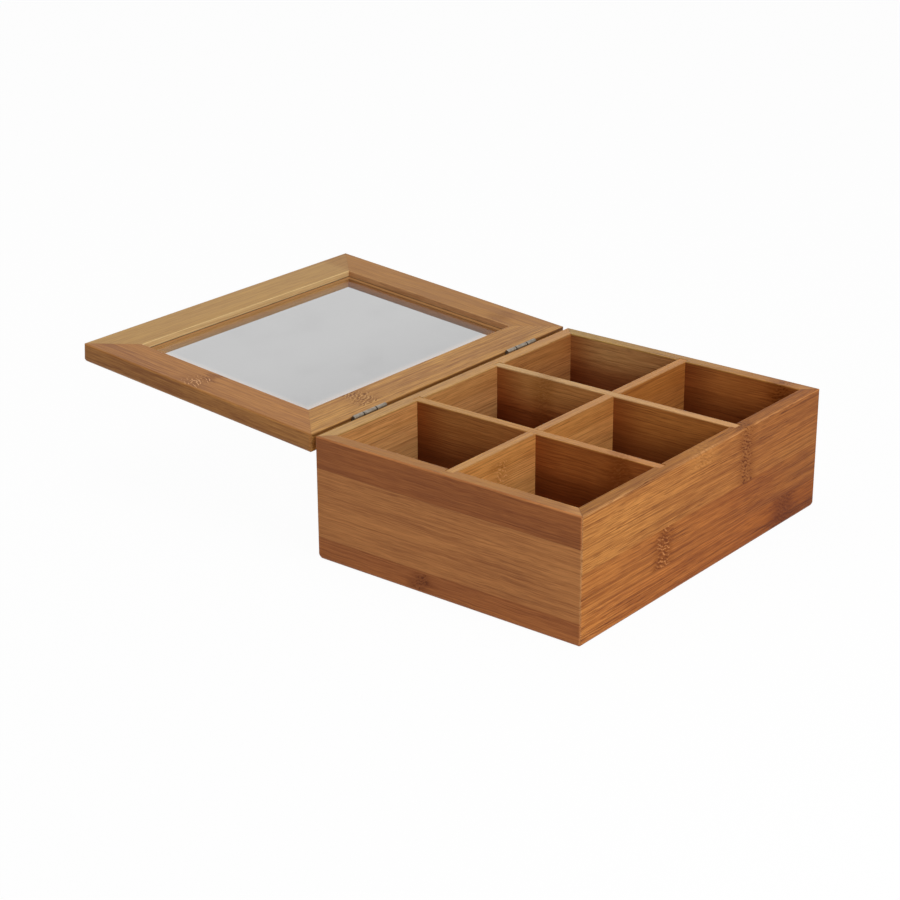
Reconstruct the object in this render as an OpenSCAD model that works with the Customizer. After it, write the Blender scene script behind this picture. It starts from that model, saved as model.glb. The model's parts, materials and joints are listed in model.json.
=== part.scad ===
// Tea bag organizer box: six compartments in a mitred bamboo box, under a framed
// window lid that swings back on two small butt hinges.
// Millimetres. The origin is the middle of the underside, X runs along the hinge
// line, the front is at -Y and +Z is up. The lid's pieces are drawn closed and
// then swung back about the hinge pins.

/* [Box] */
// Outside length, along the hinge line
box_length = 220; // [200:1:250]
// Outside depth, front to back
box_depth = 167; // [140:1:190]
// Height of the walls, from foot to rim
box_height = 68.5; // [50:0.5:90]
// Thickness of the wall boards
wall_thickness = 8; // [7:0.5:10]
// Rounding of the outer edge of the rim
rim_round = 1; // [0.5:0.1:1.5]
// Easing of the inner edge of the rim
rim_ease = 0.4; // [0.2:0.1:0.8]
// Rounding of the outer edge of the foot
foot_round = 2.4; // [0.5:0.1:3]
// Rounding of the upright corners of the box
corner_round = 1; // [0.4:0.1:1.5]
// Reach of the dome that softens the tips of the box's and the lid's corners
tip_reach = 3.6; // [2.5:0.1:4]

/* [Bottom panel] */
// Thickness of the bottom panel
bottom_thickness = 5; // [4:0.5:6]
// Thickness of the tongue round its edge
tongue_thickness = 2.5; // [2:0.25:3]
// Depth of the groove that takes the tongue
tongue_groove = 4; // [2:0.5:4.5]

/* [Dividers] */
// Thickness of the divider boards
divider_thickness = 5.5; // [4:0.5:7]
// Drop of the dividers' top edges below the rim
divider_drop = 0.2; // [0.1:0.1:2]
// Depth of the housings that take the dividers' ends
housing_depth = 3; // [1.5:0.5:4]
// Easing of the dividers' top edges
divider_ease = 0.4; // [0.2:0.1:0.8]

/* [Lid] */
// Thickness of the lid's frame
lid_thickness = 10.8; // [8.5:0.1:12]
// Width of the frame's rails and stiles
rail_width = 23; // [18:1:30]
// How far each end of the lid stays inside the end of the box
lid_end_inset = 0; // [0:0.25:1.5]
// How far the closed lid stands proud of the box's back
lid_overhang = 0.2; // [0:0.1:1.2]
// How far the closed lid stands proud of the box's front, to lift it by
lid_lip = 2.2; // [0:0.1:4]
// Rounding of the upright corners of the lid
lid_corner_round = 2; // [0.5:0.25:3]
// Rounding of the upper outer edge of the closed lid
lid_round = 2.5; // [1:0.5:3]
// Rounding of the lower outer edge of the closed lid
lid_under_round = 1; // [0.4:0.1:1.5]
// Easing of the edges round the window
window_ease = 0.6; // [0.3:0.1:1]
// Swing of the lid from closed, in degrees
lid_swing = 175.4; // [60:0.1:175.4]

/* [Window] */
// Thickness of the pane
pane_thickness = 2; // [1.5:0.5:3]
// Depth of the pane above the lid's underside
pane_inset = 3.5; // [2.5:0.5:4]
// Depth of the groove that takes the pane
pane_groove = 6; // [4:1:8]
// Play all round the pane in the depth of its groove
pane_play = 0.3; // [0.1:0.1:0.6]

/* [Hinges] */
// Distance from an end of the box to the middle of the hinge there
hinge_from_end = 44; // [36:1:52]
// Length of a hinge
hinge_length = 26; // [24:1:32]
// Length of the middle knuckle
middle_knuckle = 10; // [8:1:12]
// Outside diameter of the barrel
barrel_diameter = 2.5; // [2.4:0.1:3]
// Diameter of the pin
pin_diameter = 1.2; // [0.8:0.1:1.4]
// How far each end of the pin stays inside the barrel
pin_inset = 0.6; // [0.2:0.1:1]
// Chamfer of the pin's ends
pin_chamfer = 0.2; // [0.1:0.05:0.3]
// Thickness of a leaf
leaf_thickness = 0.7; // [0.5:0.1:0.8]
// Width of a leaf, from the axis of the pin
leaf_width = 6.5; // [6:0.5:7.5]
// Rounding of the leaf's free corners
leaf_corner = 1; // [0.5:0.1:1.5]

/* [Screws] */
// Diameter of the shank
screw_diameter = 1.6; // [1.2:0.1:1.8]
// Length below the face of the leaf
screw_length = 6; // [4:0.5:7]
// Length of the pointed tip
screw_tip = 1.5; // [1:0.25:2]
// Diameter of the head
head_diameter = 3; // [2.6:0.1:3.2]
// Height of the domed head above the leaf
head_height = 0.6; // [0.4:0.05:0.65]
// Length of the cross recess in the head
recess_length = 1.8; // [1.2:0.1:2]
// Width of the recess's arms
recess_width = 0.4; // [0.3:0.05:0.5]
// Depth of the recess
recess_depth = 0.4; // [0.2:0.05:0.5]
// Distance from the pin's axis to the screws
screw_drop = 4.2; // [4:0.1:4.5]
// Distance from the hinge's end to the screws
screw_inset = 5; // [4:0.5:6]

/* [Clearances] */
// Gap between the rim and the closed lid
seam_gap = 0.2; // [0.1:0.1:0.4]
// Play of a board in its groove, housing or half-lap
board_fit = 0.1; // [0.05:0.05:0.3]
// Gap between neighbouring knuckles
knuckle_play = 0.4; // [0.1:0.1:0.6]
// Play round the hinge in the wood
hinge_play = 0.15; // [0.1:0.05:0.3]
// Radial play of the pin in the lid's knuckle
pin_play = 0.05; // [0.02:0.01:0.1]

/* [Hidden] */
$fn = 64;
// Reach of a cutter past the face that it opens
past = 1;
bamboo = [0.74, 0.50, 0.30];
dark_bamboo = [0.60, 0.37, 0.22];
pale_bamboo = [0.80, 0.58, 0.36];
steel = [0.70, 0.69, 0.67];
clear = [0.80, 0.80, 0.80, 0.5];

inner_length = box_length - 2 * wall_thickness;
inner_depth = box_depth - 2 * wall_thickness;
divider_height = box_height - divider_drop - bottom_thickness;
// Three compartments lie between the end walls, in each of two rows
compartment_length = (inner_length - 2 * divider_thickness) / 3;
// Middle of a cross divider, left and right of the middle compartment
cross_x = (compartment_length + divider_thickness) / 2;
// Width of every slot that takes a divider
divider_slot = divider_thickness + board_fit;

lid_length = box_length - 2 * lid_end_inset;
lid_depth = box_depth + lid_overhang + lid_lip;
window_length = lid_length - 2 * rail_width;
window_depth = lid_depth - 2 * rail_width;
// Underside of the closed lid
lid_z = box_height + seam_gap;

barrel_radius = barrel_diameter / 2;
pin_radius = pin_diameter / 2;
// The leaves lie in the plane of the box's back, and the barrel touches that plane
pin_y = box_depth / 2 + barrel_radius;
pin_z = box_height + seam_gap / 2;
hinge_x = box_length / 2 - hinge_from_end;
screw_x = hinge_length / 2 - screw_inset;
outer_knuckle = hinge_length / 2 - middle_knuckle / 2 - knuckle_play;

// What a rounding of radius r takes off the corner at the origin of a shape
// that lies in the first quadrant
module corner_cut(r) {
    difference() {
        translate([-past, -past]) square(r + past);
        translate([r, r]) circle(r);
    }
}

// One side of a mitred frame that is `run` long and `across` deep, at the -Y side.
// The child is its section, x inwards from the outer face and y upwards, and
// `corner` rounds the frame's upright corners.
module mitred_side(run, across, width, height, corner) {
    intersection() {
        translate([-run / 2, -across / 2, 0])
            rotate([90, 0, 90]) linear_extrude(run) children();
        translate([0, 0, -past]) linear_extrude(height + 2 * past)
            difference() {
                polygon([
                    [-run / 2, -across / 2],
                    [run / 2, -across / 2],
                    [run / 2 - width, -across / 2 + width],
                    [-run / 2 + width, -across / 2 + width]
                ]);
                for (end = [0, 1])
                    mirror([end, 0]) translate([-run / 2, -across / 2]) corner_cut(corner);
            }
    }
}

// What the dome takes off the tip at the origin of a solid that lies in the first octant
module tip_cut() {
    middle = 3 * tip_reach;
    dome = sqrt(2 * middle * middle + (middle - tip_reach) * (middle - tip_reach));
    difference() {
        translate([-past, -past, -past]) cube(tip_reach + 1.5 * past);
        translate([middle, middle, middle]) sphere(dome);
    }
}

// Softens the corner tips of a mitred side at the height `level`. `flip` is 1 where
// the side lies below that level, and 0 where it lies above.
module soft_tips(run, across, level, flip) {
    difference() {
        children();
        for (end = [0, 1])
            mirror([end, 0, 0]) translate([-run / 2, -across / 2, level])
                mirror([0, 0, flip]) tip_cut();
    }
}

// Section of a wall board: rounded foot and rim, and the groove for the bottom
module wall_section() {
    difference() {
        square([wall_thickness, box_height]);
        corner_cut(foot_round);
        translate([0, box_height]) mirror([0, 1]) corner_cut(rim_round);
        translate([wall_thickness, box_height]) rotate(180) corner_cut(rim_ease);
        translate([wall_thickness - tongue_groove, bottom_thickness - tongue_thickness])
            square([tongue_groove + past, tongue_thickness + board_fit]);
    }
}

// Housing for the end of a divider, centred on the inner face of a wall at the -Y side
module housing(x, across) {
    translate([x - divider_slot / 2, -across / 2 + wall_thickness - housing_depth, bottom_thickness])
        cube([divider_slot, housing_depth + past, box_height]);
}

// Front or rear wall, with a housing for each cross divider
module long_wall() {
    difference() {
        soft_tips(box_length, box_depth, 0, 0)
            mitred_side(box_length, box_depth, wall_thickness, box_height, corner_round) wall_section();
        for (x = [-cross_x, cross_x])
            housing(x, box_depth);
    }
}

// Left or right wall, with the housing for the long divider
module end_wall() {
    difference() {
        soft_tips(box_depth, box_length, 0, 0)
            mitred_side(box_depth, box_length, wall_thickness, box_height, corner_round) wall_section();
        housing(0, box_length);
    }
}

// Places its child at both hinges, with the pin's axis as the child's X axis
module at_hinges() {
    for (x = [-hinge_x, hinge_x])
        translate([x, pin_y, pin_z]) children();
}

// Turns what is drawn for the box's half of a hinge into the lid's half
module lid_half() {
    mirror([0, 0, 1]) children();
}

// Places its child at the two screws of one leaf, with the child's Z axis pointing
// out of the face of the leaf
module at_screws() {
    for (x = [-screw_x, screw_x])
        translate([x, leaf_thickness - barrel_radius, -screw_drop])
            rotate([-90, 0, 0]) children();
}

// Wood taken out round a hinge: room for the barrel, and the screws' pilot holes
module hinge_cut() {
    reach = hinge_length / 2 + hinge_play;
    translate([-reach, 0, 0])
        rotate([0, 90, 0]) cylinder(r = barrel_radius + hinge_play, h = 2 * reach);
    at_screws() translate([0, 0, -screw_length]) cylinder(d = screw_diameter, h = screw_length);
}

// Shallow mortise in the lid's back that takes a leaf, open at the lid's underside
module leaf_mortise() {
    reach = hinge_length / 2 + hinge_play;
    translate([-reach, -barrel_radius, -seam_gap])
        cube([2 * reach, lid_overhang + past, leaf_width + hinge_play + seam_gap]);
}

module front_wall() {
    color(bamboo) long_wall();
}

module rear_wall() {
    color(bamboo) difference() {
        rotate([0, 0, 180]) long_wall();
        at_hinges() hinge_cut();
    }
}

module left_wall() {
    color(dark_bamboo) rotate([0, 0, -90]) end_wall();
}

module right_wall() {
    color(dark_bamboo) rotate([0, 0, 90]) end_wall();
}

// Bottom panel: its field lies flush with the foot of the walls, and the tongue
// round it sits in their groove
module bottom_panel() {
    field = [inner_length - 2 * board_fit, inner_depth - 2 * board_fit, bottom_thickness];
    tongue = [
        inner_length + 2 * (tongue_groove - board_fit),
        inner_depth + 2 * (tongue_groove - board_fit),
        tongue_thickness
    ];
    color(dark_bamboo) union() {
        translate([-field.x / 2, -field.y / 2, 0]) cube(field);
        translate([-tongue.x / 2, -tongue.y / 2, bottom_thickness - tongue_thickness]) cube(tongue);
    }
}

// A divider along Y that reaches into the housings of two walls `across` apart
module divider_board(across) {
    board = across + 2 * (housing_depth - board_fit);
    translate([0, board / 2, bottom_thickness])
        rotate([90, 0, 0]) linear_extrude(board)
            difference() {
                translate([-divider_thickness / 2, 0]) square([divider_thickness, divider_height]);
                for (side = [0, 1])
                    mirror([side, 0]) translate([divider_thickness / 2, divider_height])
                        rotate(180) corner_cut(divider_ease);
            }
}

// The long divider is slotted from above, half-way down, for each cross divider
module long_divider() {
    color(pale_bamboo) difference() {
        rotate([0, 0, 90]) divider_board(inner_length);
        for (x = [-cross_x, cross_x])
            translate([x - divider_slot / 2, -divider_thickness, bottom_thickness + divider_height / 2])
                cube([divider_slot, 2 * divider_thickness, divider_height]);
    }
}

// A cross divider is slotted from below, half-way up, and drops over the long one
module cross_divider(x) {
    color(pale_bamboo) translate([x, 0, 0]) difference() {
        divider_board(inner_depth);
        translate([-divider_thickness, -divider_slot / 2, 0])
            cube([2 * divider_thickness, divider_slot, bottom_thickness + divider_height / 2]);
    }
}

// Section of a rail or stile: rounded outer edges, eased inner edges, and the pane's groove
module rail_section() {
    difference() {
        square([rail_width, lid_thickness]);
        corner_cut(lid_under_round);
        translate([0, lid_thickness]) mirror([0, 1]) corner_cut(lid_round);
        translate([rail_width, 0]) mirror([1, 0]) corner_cut(window_ease);
        translate([rail_width, lid_thickness]) rotate(180) corner_cut(window_ease);
        translate([rail_width - pane_groove, pane_inset])
            square([pane_groove + past, pane_thickness + board_fit]);
    }
}

// Places the closed lid over the box, with the middle of its underside as origin
module on_box() {
    translate([0, (lid_overhang - lid_lip) / 2, lid_z]) children();
}

// Swings what is drawn on the closed lid back about the hinge pins
module swung() {
    translate([0, pin_y, pin_z]) rotate([-lid_swing, 0, 0]) translate([0, -pin_y, -pin_z]) children();
}

module lid_rail() {
    soft_tips(lid_length, lid_depth, lid_thickness, 1)
        mitred_side(lid_length, lid_depth, rail_width, lid_thickness, lid_corner_round) rail_section();
}

module lid_stile() {
    soft_tips(lid_depth, lid_length, lid_thickness, 1)
        mitred_side(lid_depth, lid_length, rail_width, lid_thickness, lid_corner_round) rail_section();
}

module lid_front_rail() {
    color(pale_bamboo) swung() on_box() lid_rail();
}

module lid_rear_rail() {
    color(bamboo) swung() difference() {
        on_box() rotate([0, 0, 180]) lid_rail();
        at_hinges() lid_half() hinge_cut();
        at_hinges() leaf_mortise();
    }
}

module lid_left_stile() {
    color(bamboo) swung() on_box() rotate([0, 0, -90]) lid_stile();
}

module lid_right_stile() {
    color(bamboo) swung() on_box() rotate([0, 0, 90]) lid_stile();
}

module window_pane() {
    pane = [
        window_length + 2 * (pane_groove - pane_play),
        window_depth + 2 * (pane_groove - pane_play),
        pane_thickness
    ];
    color(clear) swung() on_box()
        translate([-pane.x / 2, -pane.y / 2, pane_inset]) cube(pane);
}

// Knuckle along X from x, rolled round the pin
module knuckle(x, length) {
    translate([x, 0, 0]) rotate([0, 90, 0]) cylinder(r = barrel_radius, h = length);
}

// Flat of a leaf, hanging below the pin's axis, with its free corners rounded
module leaf_plate() {
    translate([0, leaf_thickness - barrel_radius, 0])
        rotate([90, 0, 0]) linear_extrude(leaf_thickness)
            difference() {
                translate([-hinge_length / 2, -leaf_width]) square([hinge_length, leaf_width]);
                for (end = [0, 1])
                    mirror([end, 0]) translate([-hinge_length / 2, -leaf_width]) corner_cut(leaf_corner);
            }
}

// Cut in a leaf's edge, `width` wide from x, that lets the other leaf's knuckle turn
module knuckle_gap(x, width) {
    translate([x, -barrel_radius - past, -barrel_radius - hinge_play])
        cube([width, barrel_diameter + 2 * past, barrel_diameter + 2 * past]);
}

// Bore along the barrel and the countersunk screw holes of a leaf
module leaf_holes(bore_radius) {
    translate([-hinge_length / 2 - past, 0, 0])
        rotate([0, 90, 0]) cylinder(r = bore_radius, h = hinge_length + 2 * past);
    at_screws() translate([0, 0, -leaf_thickness])
        cylinder(d1 = screw_diameter, d2 = head_diameter, h = leaf_thickness);
}

// Leaf on the box: an outer knuckle at each end grips the pin
module box_leaf() {
    gap = middle_knuckle + 2 * knuckle_play;
    color(steel) difference() {
        union() {
            difference() {
                leaf_plate();
                knuckle_gap(-gap / 2, gap);
            }
            knuckle(-hinge_length / 2, outer_knuckle);
            knuckle(hinge_length / 2 - outer_knuckle, outer_knuckle);
        }
        leaf_holes(pin_radius);
    }
}

// Leaf on the lid: the middle knuckle turns on the pin
module lid_leaf() {
    color(steel) lid_half() difference() {
        union() {
            difference() {
                leaf_plate();
                knuckle_gap(-hinge_length / 2 - past, hinge_length / 2 + past - middle_knuckle / 2);
                knuckle_gap(middle_knuckle / 2, hinge_length / 2 + past - middle_knuckle / 2);
            }
            knuckle(-middle_knuckle / 2, middle_knuckle);
        }
        leaf_holes(pin_radius + pin_play);
    }
}

// Pin with chamfered ends
module hinge_pin() {
    reach = hinge_length / 2 - pin_inset;
    color(steel) rotate([0, 90, 0]) rotate_extrude()
        polygon([
            [0, -reach],
            [pin_radius - pin_chamfer, -reach],
            [pin_radius, -reach + pin_chamfer],
            [pin_radius, reach - pin_chamfer],
            [pin_radius - pin_chamfer, reach],
            [0, reach]
        ]);
}

// Raised countersunk screw with a cross recess. Z = 0 is the face of the leaf.
module screw() {
    shank = screw_diameter / 2;
    head = head_diameter / 2;
    dome = (head * head + head_height * head_height) / (2 * head_height);
    color(steel) difference() {
        rotate_extrude() union() {
            polygon([
                [0, -screw_length],
                [shank, screw_tip - screw_length],
                [shank, -leaf_thickness],
                [head, 0],
                [0, 0]
            ]);
            intersection() {
                translate([0, head_height - dome]) circle(dome);
                square([head, head_height]);
            }
        }
        for (turn = [0, 90])
            rotate([0, 0, turn])
                translate([-recess_length / 2, -recess_width / 2, head_height - recess_depth])
                    cube([recess_length, recess_width, recess_depth + past]);
    }
}

module hinge_at(x) {
    translate([x, pin_y, pin_z]) children();
}

front_wall();
rear_wall();
left_wall();
right_wall();
bottom_panel();
long_divider();
cross_divider(-cross_x);  // left_cross_divider
cross_divider(cross_x);  // right_cross_divider
lid_front_rail();
lid_rear_rail();
lid_left_stile();
lid_right_stile();
window_pane();
hinge_at(-hinge_x) box_leaf();  // left_hinge_box_leaf
swung() hinge_at(-hinge_x) lid_leaf();  // left_hinge_lid_leaf
hinge_at(-hinge_x) hinge_pin();  // left_hinge_pin
hinge_at(hinge_x) box_leaf();  // right_hinge_box_leaf
swung() hinge_at(hinge_x) lid_leaf();  // right_hinge_lid_leaf
hinge_at(hinge_x) hinge_pin();  // right_hinge_pin
at_hinges() at_screws() screw();  // box_screws
swung() at_hinges() lid_half() at_screws() screw();  // lid_screws
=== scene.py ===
import bpy
import json
import math
from mathutils import Matrix, Vector

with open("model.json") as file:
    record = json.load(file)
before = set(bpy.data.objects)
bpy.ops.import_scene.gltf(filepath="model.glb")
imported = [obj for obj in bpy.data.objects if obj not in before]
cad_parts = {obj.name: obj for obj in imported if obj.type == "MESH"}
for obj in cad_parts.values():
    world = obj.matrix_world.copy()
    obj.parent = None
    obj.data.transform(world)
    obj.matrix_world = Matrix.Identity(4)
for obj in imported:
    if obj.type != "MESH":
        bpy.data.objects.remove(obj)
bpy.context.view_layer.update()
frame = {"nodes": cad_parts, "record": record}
scene = bpy.context.scene
print("frame loaded")


class Signal:  # a socket's output, with maths written as Python
    def __init__(self, graph, socket):
        self.graph, self.socket = graph, socket

    def maths(self, operation, *values):
        settings = {"operation": operation}
        return self.graph.node("ShaderNodeMath", settings, dict(enumerate(values)))

    def __add__(self, other):
        return self.maths("ADD", self, other)

    def __sub__(self, other):
        return self.maths("SUBTRACT", self, other)

    def __rsub__(self, other):
        return self.maths("SUBTRACT", other, self)

    def __mul__(self, other):
        return self.maths("MULTIPLY", self, other)

    __radd__, __rmul__ = __add__, __mul__

    def size(self):
        return self.maths("ABSOLUTE", self)

    def least(self, other):
        return self.maths("MINIMUM", self, other)

    def most(self, other):
        return self.maths("MAXIMUM", self, other)

    def wave(self):
        return self.maths("SINE", self)

    # 0 at start, 1 at end, eased between; start may be the larger of the two
    def ease(self, start, end):
        low, high = sorted((start, end))
        return self.graph.node("ShaderNodeMapRange", {"interpolation_type": "SMOOTHSTEP"},
                               {"Value": self, "From Min": low, "From Max": high,
                                "To Min": int(start > end), "To Max": int(start < end)})


seedStep = (7.31, 3.17, 5.23)   # how far apart the noises of two seeds are read


class Graph:  # the nodes of a material, or of the world
    def __init__(self, owner, shader="Principled BSDF"):
        owner.use_nodes = True
        self.owner, self.tree = owner, owner.node_tree
        self.shader = self.tree.nodes[shader]

    def feed(self, sockets, values):
        for name, value in values.items():
            if isinstance(value, Signal):
                self.tree.links.new(value.socket, sockets[name])
            else:
                sockets[name].default_value = value

    # any node: its settings, or a ramp's steps and stops, then its sockets
    def node(self, kind, settings=None, values=None, out=0):
        made = self.tree.nodes.new(kind)
        for key, value in (settings or {}).items():
            if key == "ramp":
                ramp = made.color_ramp
                ramp.interpolation, stops = value
                while len(ramp.elements) < len(stops):
                    ramp.elements.new(0.5)
                for element, (place, colour) in zip(ramp.elements, stops):
                    element.position = place
                for element, (place, colour) in zip(ramp.elements, stops):
                    element.color = (*colour, 1)
            else:
                setattr(made, key, value)
        self.feed(made.inputs, values or {})
        return Signal(self, made.outputs[out])

    def finish(self, values):
        self.feed(self.shader.inputs, values)
        return self.owner

    # the three parts of a vector or a colour
    def parts(self, kind, value):
        first = self.node(kind, None, {0: value})
        return [Signal(self, output) for output in first.socket.node.outputs]

    # noise on a vector in millimetres, with its grains' length along each axis
    def noise(self, vector, lengths, seed, detail=2, roughness=0.5):
        placed = self.node("ShaderNodeMapping", {"vector_type": "POINT"},
                           {"Vector": vector, "Location": tuple(seed * step for step in seedStep),
                            "Scale": tuple(1 / length for length in lengths)})
        return self.node("ShaderNodeTexNoise", {"noise_dimensions": "3D"},
                         {"Vector": placed, "Scale": 1, "Detail": detail, "Roughness": roughness})

    # two colours mixed; a Mix node's colours have the sockets 6 and 7
    def blend(self, factor, first, second, mode="MIX"):
        return self.node("ShaderNodeMix", {"data_type": "RGBA", "blend_type": mode},
                         {"Factor": factor, 6: first, 7: second}, out=2)

    def bump(self, height, strength, distance):
        return self.node("ShaderNodeBump", None,
                         {"Height": height, "Strength": strength, "Distance": distance})


def dress(name, material):
    slots = frame["nodes"][name].data.materials
    slots.clear()
    slots.append(material)


# Camera, as in the photograph

camera = {
    "place": (-0.88493, -0.62532, 0.47947),
    "forward": (0.72474, 0.58053, -0.37112),
    "right": (0.62405, -0.78138, -0.00362),
    "lens": 88.387,
    "sensor": 36,
    "clip": (0.05, 50),
}


def makeCamera():
    lens = bpy.data.cameras.new("camera")
    lens.lens, lens.sensor_width = camera["lens"], camera["sensor"]
    lens.clip_start, lens.clip_end = camera["clip"]
    seen = bpy.data.objects.new("camera", lens)
    scene.collection.objects.link(seen)
    back = -Vector(camera["forward"]).normalized()
    right = Vector(camera["right"]).normalized()
    up = back.cross(right)
    turn = Matrix((right, up, back)).transposed().to_4x4()
    seen.matrix_world = Matrix.Translation(camera["place"]) @ turn
    scene.camera = seen


makeCamera()
print("camera set")


# Bamboo: its colours and finish
bamboo = {
    "pale": (0.65, 0.290, 0.080),
    "deep": (0.32, 0.108, 0.024),
    "red": (1.04, 0.82, 0.68),        # tint of a redder strip
    "yellow": (1.0, 1.15, 1.2),       # tint of a yellower strip
    "dash": (0.15, 0.042, 0.011),     # fine dark dashes along the grain
    "dashShare": 0.5,
    "joint": (0.12, 0.030, 0.008),    # mitres, corners and glue lines
    "glueShare": 0.2,
    "boxMitreShare": 0.3,
    "lidMitreShare": 0.07,
    "wornAndHighlight": (1.0, 1.10, 1.5),         # tint of the box's rounded edges: paler from wear, and a painted highlight
    "wornAndHighlightReach": (1.15, 0.5),         # millimetres from the sharp edge
    "knuckle": (0.23, 0.063, 0.003),
    "golden": (0.66, 0.31, 0.085),    # a pale knuckle
    "goldenShare": 0.7,
    "mark": (0.16, 0.040, 0.002),     # the dark marks in a knuckle
    "markEdge": (0.85, 0.46, 0.20),   # the pale marks beside them
    "roughness": 0.44,
    "index": 1.45,
    "gloss": 0.19,
    "bumpStrength": 0.35,
    "bumpDistance": 0.00012,
}

# The grain's noises: their marks' length and width in millimetres, what is added
# to the board's seed, detail and roughness
grain = {
    "broad": ((85, 9), 1, 2, 0.5),
    "bands": ((150, 2.3), 2, 2, 0.5),
    "fibre": ((36, 0.75), 3, 2, 0.6),
    "fine": ((9, 0.4), 4, 2, 0.5),
    "dashes": ((10, 0.45), 5, 1, 0.5),
    "patches": ((60, 10), 6, 1, 0.5),
    "lines": ((70, 0.5), 8, 0, 0.5),
}

# What they do: where each turns from deep to pale, with its share of the tone, where
# the dark ones begin and are full, and shares of the roughness and of the relief
grainTones = {
    "broad": (0.3, 0.7, 0.22),
    "bands": (0.35, 0.65, 0.16),
    "fibre": (0.36, 0.64, 0.36),
    "fine": (0.3, 0.7, 0.26),
}
grainDark = {"dashes": (0.52, 0.68), "patches": (0.35, 0.65), "lines": (0.6, 0.7)}
leastDashes = 0.3    # share of the dashes that is left between the patches
grainRough = {"fibre": 0.16, "broad": 0.1}
grainRelief = {"fibre": 0.5, "fine": 0.3, "dashes": -0.2}

# The fibres' slow waver: its grain in millimetres along x, y and z, and its reach
waver = {"grain": (60, 14, 14), "reach": 1.2}

# Strips are read from one ramp, as colours: half the tone, a quarter of the redness
# around the middle, and a part of a turn that shifts the strip's grain
stripRamp = {"reach": 240.0, "shift": 40, "first": 0.1, "step": 0.37}

# Knuckles, in millimetres on the board and half lengths of the knuckle
knuckle = {
    "strip": (-0.4, 0.4),         # where it ends at the strip's edges
    "wobble": (9, 7),             # grain and reach of the wandering outline
    "ragged": (40, 1.3),          # grain of the ragged ends
    "haloEnds": (18, 2.2, 0.3),   # how ragged, and the half lengths where it fades
    "markEnds": (12, 1.1, 0.4),
    "haloFibre": 0.7,             # share of the halo that follows the fibres
    "slant": 0.5,
    "ripple": 2.8,                # of the marks, in radians to the millimetre
    "curl": (3.2, 12, 4),         # grain, and the curl of the marks and of the fibres
    "dark": (0.1, 0.9),           # parts of the ripple that are dark and pale
    "pale": (-0.3, -0.95),
    "cell": 1.9,                  # grain of the cells that break the marks up
    "darkCells": (0.62, 0.45),
    "paleCells": (0.38, 0.6),
    "paleShare": 0.7,
}

# Millimetres, on the closed box: half the outline and the middle of its depth,
# half the window, the levels of the pane's two faces, and the box's rim
outlines = {"box": (110.0, 83.5, 0.0), "lid": (110.0, 84.7, -1.0)}
windowHalf = (87.0, 61.7)
paneFaces = (72.2, 74.2)
boxTop = 68.5
crownLevel = (67.5, 68.0)   # the boards' top edges lie above this; the crown's painted sheen goes there
mitreWidth = (0.7, 0.15)
glueWidth = (0.45, 0.1)

# The walls of the window: tints of painted light on the near and the far side of the
# pane, and a painted shade line where they meet the pane's near face
windowWallLighting = {
    "near": (1.7, 2.13, 3.2),
    "far": (2.0, 1.98, 2.05),
    "edge": (-0.5, -0.15),
    "line": 0.4,
    "lineWidth": (0.35, 0.1),
}

# Places with a tint, as (axis, value where it starts, value where it is full). Painted
# shade darkens the gap at the hinges, the lid's inner right wall, and the front halves,
# low parts and far corners of the compartments; painted light lightens the lower parts
# of the compartments' back faces
hingeGapShade = [("y", 82.9, 83.5), ("z", 70.4, 69.4)]
frontEnd = [("x", 84, 92)]
frontHalfShade = [("y", 3, -3)]
innerRightShade = [("x", 87.5, 87.1)]
lowerLeft = [("x", -60, -85), ("z", 26, 14)]
lowerRight = [("x", 25, 75), ("z", 22, 12)]
middleRight = [("x", 55, 80), ("z", 17, 22), ("z", 50, 42)]
lowBackLight = ((1.03, 1.08, 1.22), [("z", 60, 54)])
deepBackShade = ((0.88, 0.92, 0.95), [("z", 52, 44)])
deepShade = ((0.42, 0.32, 0.32), [("z", 62, 36)])
middleCornerShade = ((0.62, 0.5, 0.47), [("y", -29, -5), ("y", 3, -3)])
rearCornerShade = ((0.62, 0.45, 0.36), [("y", 49.5, 73.5)])
rearDeepShade = ((0.85, 0.62, 0.52), [("y", -3, 3), ("z", 60, 44)])
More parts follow.
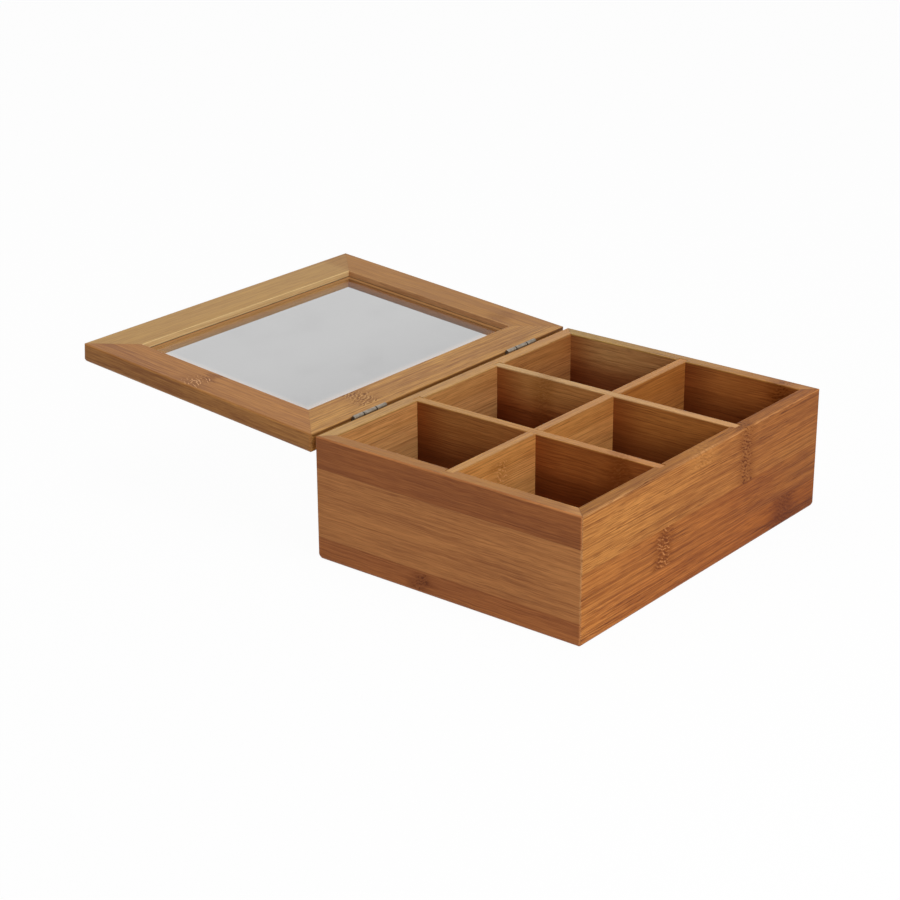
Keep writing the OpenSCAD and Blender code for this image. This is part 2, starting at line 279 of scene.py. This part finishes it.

# Each board: the axes of its grain and of its width, its drift in tone and redness
# for 100 mm of its grain, the contrast of the grain, the share of dashes, and its tint.
# A wall can have an inside, which fades along an axis into the outside's tint; the
# inside's tint is painted light, for the light in the compartments. The crown is the
# tint of the top edge, a painted sheen where the tops catch the light, and crown
# highlights are painted highlights on it. Strips of bamboo are (where the strip starts,
# tone, redness), knuckles (place along the grain, strip from, strip to, half length,
# dark marks, pale marks, halo) and zones (tint, place).
boards = {
    "front_wall": {
        "grain": "x", "across": "z", "seed": 1,
        "drift": (-0.14, 0.45), "contrast": 1.4, "gloss": 0.08,
        "tint": (0.88, 0.82, 0.70), "crownSheen": (0.72, 0.68, 0.51),
        "zones": [((0.81, 0.70, 0.54), lowerRight), ((1.06, 1.09, 1.14), lowerLeft),
                  ((1.06, 1.12, 1.14), middleRight)],
        "strips": [(-5, 1.01, 0.85), (17.3, 0.91, 0.85), (37.6, 1.05, 0.2)],
        "knuckles": [(36, 37.6, 70, 5.5, 1.1, 0.3, 0.75), (-39, 17.3, 38.2, 5.5, 0.7, 1.0, 0.9),
                     (77, -2, 17.6, 9, 0.6, 0.15, 1.05), (-4, 60, 70, 11, 0.3, 0.2, -0.6)],
    },
    "rear_wall": {
        "grain": "x", "across": "z", "seed": 2,
        "drift": (-0.16, 0.5), "contrast": 0.8, "dashes": 0.35,
        "inside": ("y", 80.5, 77.5), "outside": (0.96, 0.93, 0.90),
        "tint": (1.14, 1.22, 1.36), "crownSheen": (1.14, 1.39, 1.63),
        # inside: painted light and shade, lighter lower down and darker lowest, the left
        # compartment's top and the left and middle compartments lighter, the right compartment
        # darker
        "zones": [lowBackLight, deepBackShade, ((1.1, 1.1, 1.15), [("x", -36, -40), ("z", 58, 62)]),
                  ((1.06, 1.06, 1.10), [("x", 40, 34)]), ((0.99, 0.93, 0.90), [("x", 34, 40)])],
        "strips": [(-5, 0.92, 0.1), (24, 1.0, -0.15), (48, 1.06, -0.3)],
        "knuckles": [(66, 24, 48, 5, 0.3, 0.3, 0.6), (5, -2, 24, 6, 0.3, 0.3, 0.6)],
    },
    "left_wall": {
        "grain": "y", "across": "z", "seed": 3, "contrast": 0.9, "dashes": 0.25,
        "tint": (1.06, 1.0, 1.10), "crownSheen": (0.78, 0.966, 0.855),
        # a painted highlight on the top edge near the front corner
        "crownHighlights": [((1.25, 1.35, 1.8), [("y", -68, -75)])],
        "strips": [(-5, 0.83, 0.7), (12.2, 1.0, 0.0), (51.2, 0.70, 0.85)],
        "knuckles": [(15, 2.0, 11.5, 5, 0.9, 0.2, 1.0)],
    },
    "right_wall": {
        "grain": "y", "across": "z", "seed": 4,
        "drift": (0.33, -1.4), "contrast": 0.8, "dashes": 0.35,
        "inside": ("x", 107, 104), "outside": (0.95, 0.95, 0.95),
        "tint": (1.13, 1.31, 1.75), "crownSheen": (0.91, 1.15, 1.12),
        # painted shade in the compartments: low down, at the long divider and the rear wall, and
        # over the front half
        "zones": [deepShade, middleCornerShade, rearCornerShade, rearDeepShade, ((0.97, 0.79, 0.55), frontHalfShade)],
        "strips": [(-5, 0.9, 0.4), (20, 1.0, 0.3), (44, 0.95, 0.2)],
        "knuckles": [(-64, 44, 70, 5, 0.9, 0.2, 1.0), (20, 20, 44, 6, 0.3, 0.3, 0.7)],
    },
    "bottom_panel": {
        "grain": "x", "across": "y", "seed": 5, "tint": (0.7, 0.62, 0.6),
        "strips": [(-90, 0.92, 0.3), (-55, 1.0, 0.2), (-18, 0.9, 0.4), (21, 1.0, 0.25),
                   (58, 0.94, 0.3)],
        "knuckles": [(-60, -55, -18, 7, 0.3, 0.4, 0.6), (48, 21, 58, 7, 0.3, 0.4, 0.6),
                     (8, -90, -55, 6, 0.3, 0.4, 0.6)],
    },
    "long_divider": {
        "grain": "x", "across": "z", "seed": 6,
        "drift": (-0.14, 0.3), "contrast": 0.8, "dashes": 0.35,
        "tint": (1.31, 1.36, 1.33), "crownSheen": (1.11, 1.26, 1.385),
        # painted light and shade: lighter lower down, darker at the bottom and in the right
        # compartment
        "zones": [lowBackLight, deepBackShade, ((0.92, 0.82, 0.68), [("x", 36, 40)])],
        "strips": [(-5, 0.98, 0.2), (31, 1.04, 0.0)],
        "knuckles": [(-67, 31, 62, 6, 0.3, 0.4, 0.4)],
    },
    "left_cross_divider": {
        "grain": "y", "across": "z", "seed": 7,
        "drift": (0.14, -0.6), "contrast": 0.8, "dashes": 0.35,
        "tint": (1.05, 1.05, 1.08), "crownSheen": (1.10, 1.30, 1.36),
        # painted shade: low down, towards the rear wall, over the front half and beside the long
        # divider
        "zones": [deepShade, rearCornerShade, ((1.0, 0.86, 0.73), frontHalfShade),
                  ((0.8, 0.75, 0.75), [("y", -22, -5), ("y", 3, -3)])],
        "strips": [(-5, 0.92, 0.4), (34, 1.0, 0.15)],
        "knuckles": [(-54, 34, 70, 6, 0.2, 0.2, 0.8)],
    },
    "right_cross_divider": {
        "grain": "y", "across": "z", "seed": 8,
        "drift": (0.22, -0.6), "contrast": 0.8, "dashes": 0.35,
        "tint": (1.2, 1.33, 1.50), "crownSheen": (1.22, 1.70, 2.5),
        # painted shade: low down, at the long divider and the rear wall, and over the front half
        "zones": [deepShade, middleCornerShade, rearCornerShade, rearDeepShade, ((0.97, 0.88, 0.70), frontHalfShade)],
        "strips": [(-5, 0.92, 0.4), (30, 1.0, 0.2)],
        "knuckles": [(44, 30, 70, 5, 0.2, 0.1, 0.6)],
    },
    "lid_front_rail": {
        "grain": "x", "across": "y", "seed": 9, "lid": True, "contrast": 0.6, "dashes": 0.1,
        "tint": (1.06, 1.38, 1.64), "zones": [((0.84, 0.76, 0.68), frontEnd)],
        "strips": [(-90, 1.0, -0.3)],
    },
    "lid_rear_rail": {
        "grain": "x", "across": "y", "seed": 10, "lid": True, "contrast": 1.4, "dashes": 0.4,
        # painted shade on the rail's back edge, for the shadow in the gap at the hinges
        "tint": (1.04, 1.22, 1.21), "zones": [((0.35, 0.28, 0.20), hingeGapShade)],
        "strips": [(50, 1.0, 0.0)],
        "knuckles": [(-56, 61, 78, 8, 0.9, 0.6, 0.5), (62, 61, 84, 14, 0, 0, 0.25)],
    },
    "lid_left_stile": {
        "grain": "y", "across": "x", "seed": 11, "lid": True, "contrast": 1.15, "dashes": 0.2,
        "tint": (0.85, 0.91, 0.93), "strips": [(-115, 1.0, 0.25)],
        "knuckles": [(-5, -109.2, -95, 6.5, 0.35, 1.5, 0.45), (-4, -98, -86, 3, 0.4, 0, 0.8)],
    },
    "lid_right_stile": {
        "grain": "y", "across": "x", "seed": 12, "lid": True, "contrast": 0.85, "dashes": 0.1,
        # painted shade on the inner wall beside the window
        "tint": (0.85, 0.97, 0.90), "zones": [((0.80, 0.76, 0.95), innerRightShade)],
        "strips": [(80, 1.0, 0.25)],
        "knuckles": [(48, 88, 104, 5, 0.2, 0, 0.6)],
    },
}

hinge = frame["record"]["behaviour"]["joints"][0]
hingePin = Vector(hinge["pos_m"]) * 1000
lidSwing = math.radians(hinge["range_deg"][1])


# Millimetres on the piece as it lies in the closed box: the lid's pieces are
# turned back about the hinge pins
def closedVector(graph, onLid=False):
    place = graph.node("ShaderNodeTexCoord", out="Object")
    swing = lidSwing if onLid else 0
    shift = hingePin - Matrix.Rotation(swing, 3, "X") @ hingePin
    return graph.node("ShaderNodeMapping", {"vector_type": "POINT"},
                      {"Vector": place, "Location": tuple(shift), "Rotation": (swing, 0, 0),
                       "Scale": (1000, 1000, 1000)})


# Distance into the window's opening, below 0 in the wood
def insideWindow(x, y):
    return (windowHalf[0] - x.size()).least(windowHalf[1] - (y - outlines["lid"][2]).size())


# Three shares, taken by an amount towards three others
def towards(shares, amount, others):
    return [share + amount * (other - share) for share, other in zip(shares, others)]


# Shares tinted in zones, as far as their places and the amount within allow
def inZones(shares, zones, places, within):
    for tint, where in zones:
        grown = within
        for axis, start, end in where:
            grown = places[axis].ease(start, end) * grown
        shares = [share * (1 + grown * (level - 1)) for share, level in zip(shares, tint)]
    return shares


# A bamboo board: strips side by side, fibres stretched along the grain, fine dark
# dashes, and knuckles where the fibres curl and darken
def bambooMaterial(name, board):
    graph = Graph(bpy.data.materials.new(name + "Bamboo"))
    seed, onLid = board["seed"], board.get("lid", False)
    framed = "divider" not in name and "bottom" not in name
    along, across = "xyz".index(board["grain"]), "xyz".index(board["across"])
    depth = 3 - along - across
    vector = closedVector(graph, onLid)
    x, y, z = graph.parts("ShaderNodeSeparateXYZ", vector)
    u, v, w = ((x, y, z)[axis] for axis in (along, across, depth))
    places = {"x": x, "y": y, "z": z}

    def lengths(long, wide):
        return [long if axis == along else wide for axis in range(3)]

    def paint(share, colour, key):
        return graph.blend(share, colour, (*bamboo[key], 1))

    # strips: tone in red, redness in green, shift of the grain in blue
    low, span = board["strips"][0][0], stripRamp["reach"]
    shifts = [(k * stripRamp["step"] + stripRamp["first"]) % 1 for k in range(len(board["strips"]))]
    stops = [((start - low) / span, (tone / 2, redness / 4 + 0.5, shift))
             for (start, tone, redness), shift in zip(board["strips"], shifts)]
    strip = graph.node("ShaderNodeValToRGB", {"ramp": ("CONSTANT", stops)},
                       {0: (v - low) * (1 / span)})
    tone, redness, shift = graph.parts("ShaderNodeSeparateColor", strip)
    tone, redness, shift = tone * 2, redness * 4 - 2, shift * stripRamp["shift"]

    # knuckles: a halo, and in it slanted ripples, dark and pale in turn
    halos, darkMarks, paleMarks = [], [], []
    if "knuckles" in board:
        wobbleGrain, wobble = knuckle["wobble"]
        curlGrain, markCurl, fibreCurl = knuckle["curl"]
        wander = graph.noise(vector, [wobbleGrain] * 3, seed + 30, detail=1) - 0.5
        curl = graph.noise(vector, [curlGrain] * 3, seed + 31, detail=1) - 0.5
        ragged = graph.noise(vector, lengths(*knuckle["ragged"]), seed + 33, detail=1) - 0.5
        for place, start, end, half, dark, pale, haloShare in board["knuckles"]:
            inside = (v - start).ease(*knuckle["strip"]) * (end - v).ease(*knuckle["strip"])
            away = u - place + wander * wobble
            haloEnd, markEnd = ((away + ragged * rough).size().ease(half * far, half * near)
                                for rough, far, near in (knuckle["haloEnds"], knuckle["markEnds"]))
            column = markEnd * inside
            ripple = ((v + away * knuckle["slant"]) * knuckle["ripple"] + curl * markCurl).wave()
            halos.append(haloEnd * inside * haloShare)
            darkMarks.append(ripple.ease(*knuckle["dark"]) * column * dark)
            paleMarks.append(ripple.ease(*knuckle["pale"]) * column * pale)

    # where the fibres are read from: they break at the strips and curl in a knuckle
    bend = graph.noise(vector, waver["grain"], seed + 32, detail=1) - 0.5
    sideways = v + bend * waver["reach"]
    if halos:
        halo = sum(halos)
        sideways = sideways + curl * halo.size() * fibreCurl
    fibres = {along: u + shift, across: sideways, depth: w + shift}
    fibreVector = graph.node("ShaderNodeCombineXYZ", None, fibres)
    noises = {key: graph.noise(fibreVector, lengths(*marks), seed + step, detail, roughness)
              for key, (marks, step, detail, roughness) in grain.items()}

    tones = [noises[key].ease(start, end) * share
             for key, (start, end, share) in grainTones.items()]
    pale = (sum(tones) - 0.5) * board.get("contrast", 1) + 0.5
    colour = graph.blend(pale, (*bamboo["deep"], 1), (*bamboo["pale"], 1))
    dashes, patches, lines = (noises[key].ease(*reach) for key, reach in grainDark.items())
    dark = dashes * (patches * (1 - leastDashes) + leastDashes) + lines
    colour = paint(dark * board.get("dashes", bamboo["dashShare"]), colour, "dash")

    if halos:
        cells = graph.noise(vector, [knuckle["cell"]] * 3, seed + 7, detail=1)
        darkCells, paleCells = cells.ease(*knuckle["darkCells"]), cells.ease(*knuckle["paleCells"])
        onFibres = noises["fibre"] * knuckle["haloFibre"] + (1 - knuckle["haloFibre"])
        colour = paint(halo.most(0) * onFibres, colour, "knuckle")
        colour = paint((0 - halo).most(0) * bamboo["goldenShare"], colour, "golden")
        colour = paint(sum(darkMarks) * darkCells, colour, "mark")
        colour = paint(sum(paleMarks) * paleCells * knuckle["paleShare"], colour, "markEdge")

    # glue lines between the strips, and the mitres of a frame
    for start, *_ in board["strips"][1:]:
        glue = (v - start).size().ease(*glueWidth)
        colour = paint(glue * bamboo["glueShare"], colour, "joint")
    if framed:
        frameName = "lid" if onLid else "box"
        halfX, halfY, middle = outlines[frameName]
        fromSide, fromEnd = halfX - x.size(), halfY - (y - middle).size()
        mitre = (fromSide - fromEnd).size().ease(*mitreWidth)
        if not onLid:
            mitre = mitre * z.ease(*crownLevel)
        colour = paint(mitre * bamboo[frameName + "MitreShare"], colour, "joint")

    # the board drifts in tone and redness along its grain, from its middle
    within, shares = 1, board["tint"]
    if "inside" in board:
        # a wall's inside has a tint of its own, painted light for the light in the compartments,
        # fading into the outside's tint
        axis, start, end = board["inside"]
        within = places[axis].ease(start, end).most(z.ease(*crownLevel))
        shares = towards(board["outside"], within, shares)
    toneDrift, redDrift = board.get("drift", (0, 0))
    tone = tone * (1 + u * within * (toneDrift / 100))
    redness = redness + u * within * (redDrift / 100)
    for amount, tint in ((redness, "red"), (0 - redness, "yellow")):
        tinted = graph.blend(amount.most(0), (1, 1, 1, 1), (*bamboo[tint], 1))
        colour = graph.blend(1, colour, tinted, "MULTIPLY")

    # the zones (many of them painted shade and light), the top edge (painted sheen), the worn
    # edges (with a painted highlight) and the window's walls (painted light and shade) have their
    # tints
    shares = [tone * share for share in shares]
    shares = inZones(shares, board.get("zones", []), places, within)
    # the top edge gets a painted sheen, and painted highlights on it
    if "crownSheen" in board:
        crownSheen = z.ease(*crownLevel)
        shares = towards(shares, crownSheen, board["crownSheen"])
        shares = inZones(shares, board.get("crownHighlights", []), places, crownSheen)
    # the box's rounded top edges are paler: partly wear, partly a painted highlight
    if framed and not onLid:
        edge = (fromSide.least(fromEnd) + (boxTop - z)).least(fromSide + fromEnd)
        shares = towards(shares, edge.ease(*bamboo["wornAndHighlightReach"]), bamboo["wornAndHighlight"])
    # the window's walls get painted light, and a painted shade line at the pane's near face
    if onLid:
        wall = insideWindow(x, y).ease(*windowWallLighting["edge"])
        far = z.ease(*paneFaces)
        line = (z - paneFaces[0]).size().ease(*windowWallLighting["lineWidth"]) * windowWallLighting["line"]
        shares = [share * (1 + wall * (near - 1 + far * (beyond - near) - line))
                  for share, near, beyond in zip(shares, windowWallLighting["near"], windowWallLighting["far"])]
    shade = graph.node("ShaderNodeCombineXYZ", None, dict(enumerate(shares)))
    colour = graph.node("ShaderNodeVectorMath", {"operation": "MULTIPLY"}, {0: colour, 1: shade})

    rough = sum((noises[key] - 0.5) * share for key, share in grainRough.items())
    relief = sum(noises[key] * share for key, share in grainRelief.items())
    normal = graph.bump(relief, bamboo["bumpStrength"], bamboo["bumpDistance"])
    return graph.finish({"Base Color": colour, "Roughness": rough + bamboo["roughness"],
                         "IOR": bamboo["index"], "Normal": normal,
                         "Specular IOR Level": board.get("gloss", bamboo["gloss"])})


for name, board in boards.items():
    dress(name, bambooMaterial(name, board))
print("bamboo boards dressed:", len(boards))


steel = {
    "light": (0.40, 0.35, 0.285),
    "dull": (0.14, 0.115, 0.085),
    "metallic": 0.9,
    "roughness": 0.38,
    "brush": (4, 0.12, 0.12),    # grains in millimetres
    "stain": (2.6, 1.8, 1.8),
    "stainReach": (0.3, 0.7),
    "stainShare": 0.5,           # of the mixed colour; brushing has the rest
    "brushRough": 0.2,           # how much each changes the roughness
    "stainRough": 0.25,
    "bumpStrength": 0.25,
    "bumpDistance": 0.00004,
    "gapShadeColour": (0.02, 0.015, 0.01),
    "gapShadeShare": 0.75,            # how dark the painted shade in the gaps between the knuckles is
    "gapShadeWidth": (0.7, 0.2),
    "hingeMiddle": 66.0,         # millimetres along the hinge line
    "knuckleHalf": 5.0,
    "barrel": (1.75, 1.4),       # millimetres from the pin's axis
}


# Brushed steel with dull stains, and painted shade in the gaps between a hinge's knuckles
def steelMaterial(name, seed, brightness):
    graph = Graph(bpy.data.materials.new(name))
    vector = closedVector(graph)
    brush = graph.noise(vector, steel["brush"], seed)
    stain = graph.noise(vector, steel["stain"], seed + 1, detail=3)
    dull, light = ((*(value * brightness for value in steel[key]), 1) for key in ("dull", "light"))
    stained = stain.ease(*steel["stainReach"]) * steel["stainShare"]
    colour = graph.blend(brush * (1 - steel["stainShare"]) + stained, dull, light)
    x, y, z = graph.parts("ShaderNodeSeparateXYZ", vector)
    fromPin = (y - hingePin.y).size().most((z - hingePin.z).size())
    fromGap = ((x.size() - steel["hingeMiddle"]).size() - steel["knuckleHalf"]).size()
    # painted shade in the gaps between the knuckles, on the barrel only
    gapShade = fromGap.ease(*steel["gapShadeWidth"]) * fromPin.ease(*steel["barrel"])
    rough = steel["roughness"] + (0.5 - brush) * steel["brushRough"]
    rough = rough + (0.5 - stain) * steel["stainRough"]
    normal = graph.bump(brush, steel["bumpStrength"], steel["bumpDistance"])
    return graph.finish({
        "Base Color": graph.blend(gapShade * steel["gapShadeShare"], colour, (*steel["gapShadeColour"], 1)),
        "Metallic": steel["metallic"], "Roughness": rough, "Normal": normal})


metals = {
    "leaf": steelMaterial("hingeSteel", seed=41, brightness=1.0),
    "pin": steelMaterial("pinSteel", seed=45, brightness=0.7),
    "screws": steelMaterial("screwSteel", seed=49, brightness=0.95),
}
for name in frame["nodes"]:
    kind = name.split("_")[-1]
    if kind in metals:
        dress(name, metals[kind])
print("steel dressed")


pane = {
    "colour": (0.10, 0.10, 0.10),
    "cover": 0.312,        # of each face, in the middle of the window
    "edgeCover": 0.17,     # beside the frame
    "edgeWidth": 12.0,     # millimetres
    "hingeCover": 0.0007,  # more of it for each millimetre towards the hinges
    # the near face beside the frame: painted shade for the dark gap, then a painted image of the
    # frame, seen in it
    "mirror": [(0, (0.085, 0.032, 0.010)), (0.4, (0.085, 0.032, 0.010)),
               (0.85, (0.46, 0.23, 0.085)), (4.0, (0.46, 0.23, 0.085))],
    "mirrorCover": 0.93,
    "mirrorEnd": 0.8,              # millimetres over which it ends
    "nearFace": (1.2, 0.8),        # millimetres above the pane's near face
    "glow": (0.46, 0.23, 0.085),   # the frame's colour painted into the pane further in
    "glowReach": (10, 5),          # millimetres
    "smear": (34, 26, 26),         # grain of the smears
    "smearReach": (0.45, 0.8),
    "smearShare": 0.02,            # how much they cover and dull
    "roughness": 0.05,
    "index": 1.49,
}


def paneMaterial():
    graph = Graph(bpy.data.materials.new("clearPane"))
    vector = closedVector(graph, onLid=True)
    x, y, z = graph.parts("ShaderNodeSeparateXYZ", vector)
    smear = graph.noise(vector, pane["smear"], seed=61, detail=3).ease(*pane["smearReach"])
    smear = smear * pane["smearShare"]
    inside = insideWindow(x, y)
    middle = inside.ease(0, pane["edgeWidth"])
    cover = pane["edgeCover"] + middle * (pane["cover"] - pane["edgeCover"])
    cover = cover + y.most(0) * pane["hingeCover"]
    # beside the frame the near face gets painted shade for the gap and a painted image of the
    # frame, and further in the frame's colour is painted into the pane
    reach = pane["mirror"][-1][0]
    nearFace = z.ease(*(paneFaces[0] + height for height in pane["nearFace"]))
    border = inside.ease(reach, reach - pane["mirrorEnd"]) * nearFace
    stops = [(distance / reach, colour) for distance, colour in pane["mirror"]]
    mirrored = graph.node("ShaderNodeValToRGB", {"ramp": ("LINEAR", stops)},
                          {0: inside * (1 / reach)})
    plain = graph.blend(inside.ease(*pane["glowReach"]), (*pane["colour"], 1), (*pane["glow"], 1))
    return graph.finish({"Base Color": graph.blend(border, plain, mirrored),
                         "Roughness": smear + pane["roughness"], "IOR": pane["index"],
                         "Alpha": (cover + smear).most(border * pane["mirrorCover"])})


dress("window_pane", paneMaterial())
print("pane dressed")


# Floor, backdrop and light

studio = {
    "floorSize": 6.0,
    "floorLevel": -0.0001,    # just clear of the box's underside
    "floorWhite": 0.80,
    "floorRoughness": 0.9,
    "floorShadow": 0.03,      # how much of the floor's own shading shows
    "worldLight": 0.32,
    "lamps": [
        # place, aim, size, power
        ((-0.17, -0.58, 0.40), (-0.14, 0, 0), 0.3, 2.05),
        ((-0.05, 0.1, 1.3), (0, 0, 0.05), 1.0, 6.2),
    ],
}


# White to the camera, to mirrors and through glass, with a share of the own shading
def whiteWhereSeen(graph, whiteShader, ownShare):
    surface = graph.shader.outputs[0].links[0].to_socket
    rays = ("Is Camera Ray", "Is Glossy Ray", "Is Transmission Ray")
    seen, mirrored, through = (graph.node("ShaderNodeLightPath", out=ray) for ray in rays)
    white = graph.node(whiteShader, None, {"Color": (1, 1, 1, 1), "Strength": 1})
    mixed = graph.node("ShaderNodeMixShader", None, {
        0: seen.most(mirrored).most(through) * (1 - ownShare),
        1: Signal(graph, graph.shader.outputs[0]), 2: white})
    graph.tree.links.new(mixed.socket, surface)


def makeFloor():
    half = studio["floorSize"] / 2
    sheet = bpy.data.meshes.new("floor")
    corners = [(-half, -half), (half, -half), (half, half), (-half, half)]
    sheet.from_pydata([(*corner, studio["floorLevel"]) for corner in corners], [], [(0, 1, 2, 3)])
    floor = bpy.data.objects.new("floor", sheet)
    scene.collection.objects.link(floor)
    paper = Graph(bpy.data.materials.new("floorPaper"))
    sheet.materials.append(paper.finish({"Base Color": (*[studio["floorWhite"]] * 3, 1),
                                         "Roughness": studio["floorRoughness"]}))
    whiteWhereSeen(paper, "ShaderNodeEmission", studio["floorShadow"])


def makeLight():
    scene.world = bpy.data.worlds.new("studio")
    backdrop = Graph(scene.world, "Background")
    backdrop.finish({"Color": (1, 1, 1, 1), "Strength": studio["worldLight"]})
    whiteWhereSeen(backdrop, "ShaderNodeBackground", 0)
    for k, (place, aim, size, power) in enumerate(studio["lamps"]):
        lamp = bpy.data.lights.new("softbox" + str(k), "AREA")
        lamp.energy, lamp.size = power, size
        hung = bpy.data.objects.new("softbox" + str(k), lamp)
        scene.collection.objects.link(hung)
        hung.location = place
        hung.rotation_euler = (Vector(aim) - Vector(place)).to_track_quat("-Z", "Y").to_euler()
    scene.view_settings.view_transform = "Standard"


makeFloor()
makeLight()
print("studio set")
